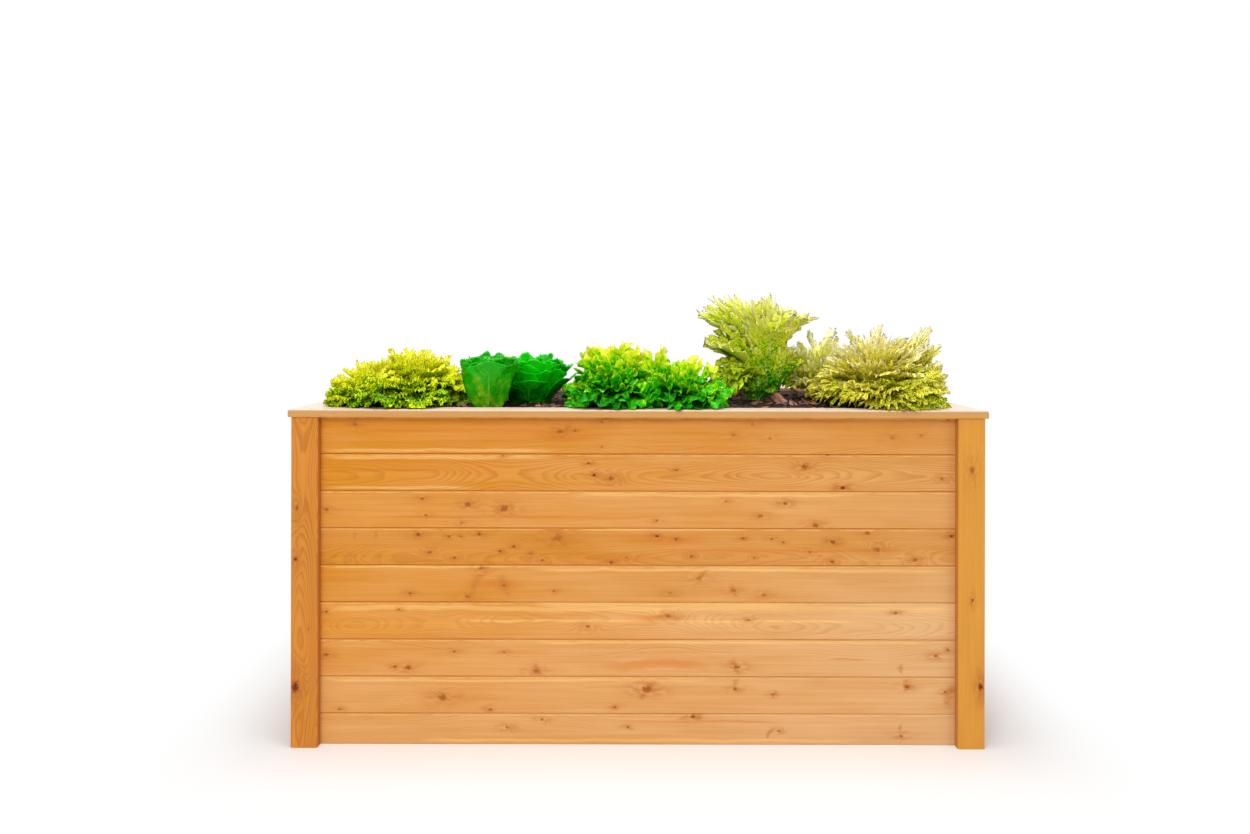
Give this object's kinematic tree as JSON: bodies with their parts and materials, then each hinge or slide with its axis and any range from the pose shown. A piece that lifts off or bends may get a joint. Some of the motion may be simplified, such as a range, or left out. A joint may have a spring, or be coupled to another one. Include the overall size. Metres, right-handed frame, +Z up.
{
  "type": "raised garden bed",
  "caption": "Waist-high softwood raised bed with plank walls slotted into corner posts and a mitred cap, filled with soil and planted with salad.",
  "frame": {"origin": "on the ground, under the middle of the bed", "axes": "+X along the bed to the right as seen from the front, the front wall faces -Y, +Z up"},
  "size_m": [1.812, 0.912, 1.1886],
  "materials": {
    "plank_wood": "planed knotty softwood, oiled by its own resin, satin",
    "post_wood": "planed softwood, satin",
    "cap_wood": "planed softwood, bleached a little by the sun, satin",
    "batten_wood": "sawn softwood, matte",
    "stainless_screw": "satin stainless steel",
    "zinc_steel": "bright zinc plate",
    "galvanised_wire": "dull hot-dip zinc",
    "liner_sheet": "black dimpled sheet",
    "soil": "loose potting soil with bark chips",
    "frilly_leaf": "crisp frilled leaf, waxy",
    "pale_romaine_leaf": "smooth ribbed leaf, waxy",
    "dark_romaine_leaf": "smooth ribbed leaf, waxy",
    "curly_leaf": "crisp curled leaf, waxy",
    "tall_leaf": "thin ruffled leaf, waxy",
    "yellow_leaf": "fine feathered leaf, satin"
  },
  "bodies": {
    "root": {"front_plank_1": "plank_wood", "front_plank_2": "plank_wood", "front_plank_3": "plank_wood", "front_plank_4": "plank_wood", "front_plank_5": "plank_wood", "front_plank_6": "plank_wood", "front_plank_7": "plank_wood", "front_plank_8": "plank_wood", "front_plank_9": "plank_wood", "back_plank_1": "plank_wood", "back_plank_2": "plank_wood", "back_plank_3": "plank_wood", "back_plank_4": "plank_wood", "back_plank_5": "plank_wood", "back_plank_6": "plank_wood", "back_plank_7": "plank_wood", "back_plank_8": "plank_wood", "back_plank_9": "plank_wood", "left_plank_1": "plank_wood", "left_plank_2": "plank_wood", "left_plank_3": "plank_wood", "left_plank_4": "plank_wood", "left_plank_5": "plank_wood", "left_plank_6": "plank_wood", "left_plank_7": "plank_wood", "left_plank_8": "plank_wood", "left_plank_9": "plank_wood", "right_plank_1": "plank_wood", "right_plank_2": "plank_wood", "right_plank_3": "plank_wood", "right_plank_4": "plank_wood", "right_plank_5": "plank_wood", "right_plank_6": "plank_wood", "right_plank_7": "plank_wood", "right_plank_8": "plank_wood", "right_plank_9": "plank_wood", "post_front_left": "post_wood", "post_front_right": "post_wood", "post_back_left": "post_wood", "post_back_right": "post_wood", "cap_front": "cap_wood", "cap_back": "cap_wood", "cap_left": "cap_wood", "cap_right": "cap_wood", "front_batten": "batten_wood", "back_batten": "batten_wood", "cap_screws": "stainless_screw", "wall_screws": "stainless_screw", "batten_screws": "stainless_screw", "tie_rod": "zinc_steel", "tie_rod_nuts": "zinc_steel", "vole_mesh": "galvanised_wire", "wall_liner": "liner_sheet", "soil": "soil", "frilly_lettuce": "frilly_leaf", "pale_romaine": "pale_romaine_leaf", "dark_romaine": "dark_romaine_leaf", "curly_lettuce": "curly_leaf", "tall_lettuce": "tall_leaf", "yellow_lettuce": "yellow_leaf"}
  },
  "joints": []
}
